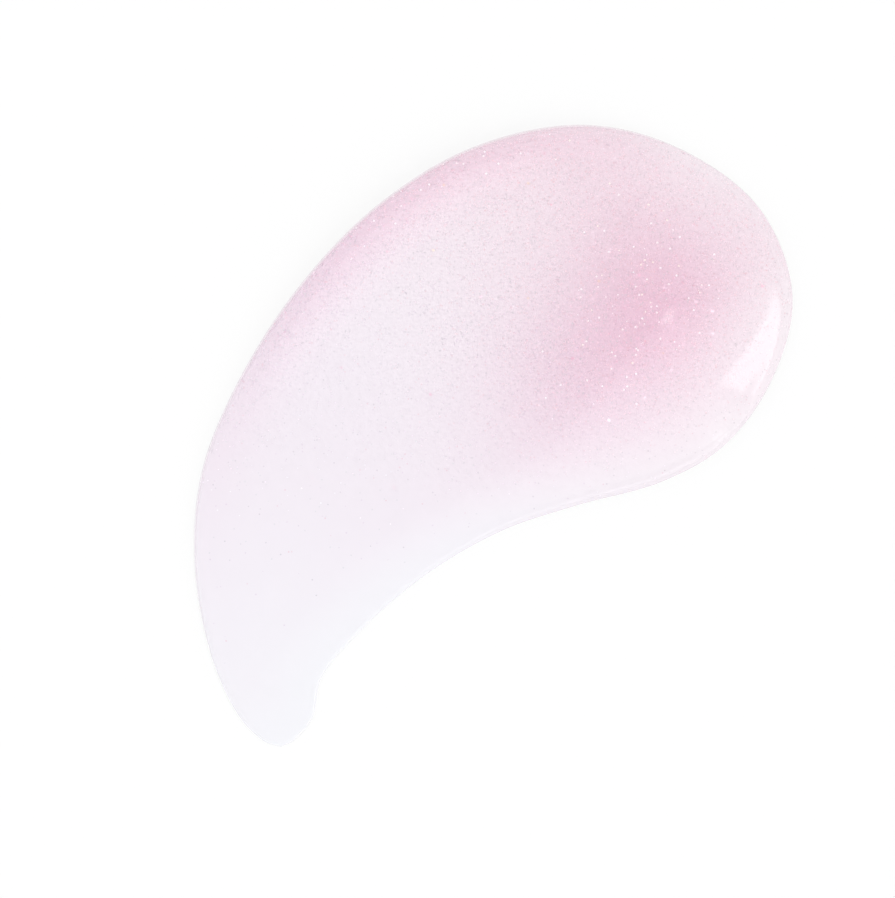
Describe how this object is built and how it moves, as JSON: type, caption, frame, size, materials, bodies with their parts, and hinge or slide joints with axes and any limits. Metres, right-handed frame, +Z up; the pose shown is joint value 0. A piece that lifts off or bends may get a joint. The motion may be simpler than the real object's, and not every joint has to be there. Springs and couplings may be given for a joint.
{
  "type": "lip gloss smear",
  "caption": "Comma-shaped smear of sheer pink lip gloss with a deep pool at its head, a raised bead along the outer edge, a thin pale tail and glitter flakes hung in the gel.",
  "frame": {"origin": "centre of the footprint's box, on the flat underside", "axes": "+Z up out of the surface it lies on, +Y from the tail towards the head, +X the way the head leans over"},
  "size_m": [0.0298, 0.031, 0.0021],
  "materials": {
    "gel": "sheer pink gel with a wet gloss, deeper pink where it is thicker, with a fine pink and lilac shimmer in it",
    "silver_flake": "bright white-silver polyester glitter, nearly a mirror",
    "rose_flake": "rose-pink glitter with a satin shine",
    "gold_flake": "pale gold glitter with a satin shine"
  },
  "bodies": {
    "root": {"gel_body": "gel", "silver_flake_01": "silver_flake", "silver_flake_02": "silver_flake", "silver_flake_03": "silver_flake", "silver_flake_04": "silver_flake", "silver_flake_05": "silver_flake", "silver_flake_06": "silver_flake", "silver_flake_07": "silver_flake", "silver_flake_08": "silver_flake", "silver_flake_09": "silver_flake", "silver_flake_10": "silver_flake", "silver_flake_11": "silver_flake", "silver_flake_12": "silver_flake", "silver_flake_13": "silver_flake", "silver_flake_14": "silver_flake", "silver_flake_15": "silver_flake", "silver_flake_16": "silver_flake", "silver_flake_17": "silver_flake", "silver_flake_18": "silver_flake", "silver_flake_19": "silver_flake", "silver_flake_20": "silver_flake", "silver_flake_21": "silver_flake", "silver_flake_22": "silver_flake", "silver_flake_23": "silver_flake", "silver_flake_24": "silver_flake", "silver_flake_25": "silver_flake", "silver_flake_26": "silver_flake", "silver_flake_27": "silver_flake", "silver_flake_28": "silver_flake", "silver_flake_29": "silver_flake", "silver_flake_30": "silver_flake", "silver_flake_31": "silver_flake", "silver_flake_32": "silver_flake", "silver_flake_33": "silver_flake", "silver_flake_34": "silver_flake", "silver_flake_35": "silver_flake", "silver_flake_36": "silver_flake", "silver_flake_37": "silver_flake", "silver_flake_38": "silver_flake", "silver_flake_39": "silver_flake", "silver_flake_40": "silver_flake", "rose_flake_01": "rose_flake", "rose_flake_02": "rose_flake", "rose_flake_03": "rose_flake", "rose_flake_04": "rose_flake", "rose_flake_05": "rose_flake", "rose_flake_06": "rose_flake", "rose_flake_07": "rose_flake", "rose_flake_08": "rose_flake", "rose_flake_09": "rose_flake", "rose_flake_10": "rose_flake", "rose_flake_11": "rose_flake", "rose_flake_12": "rose_flake", "gold_flake_01": "gold_flake", "gold_flake_02": "gold_flake", "gold_flake_03": "gold_flake", "gold_flake_04": "gold_flake", "gold_flake_05": "gold_flake", "gold_flake_06": "gold_flake"}
  },
  "joints": []
}
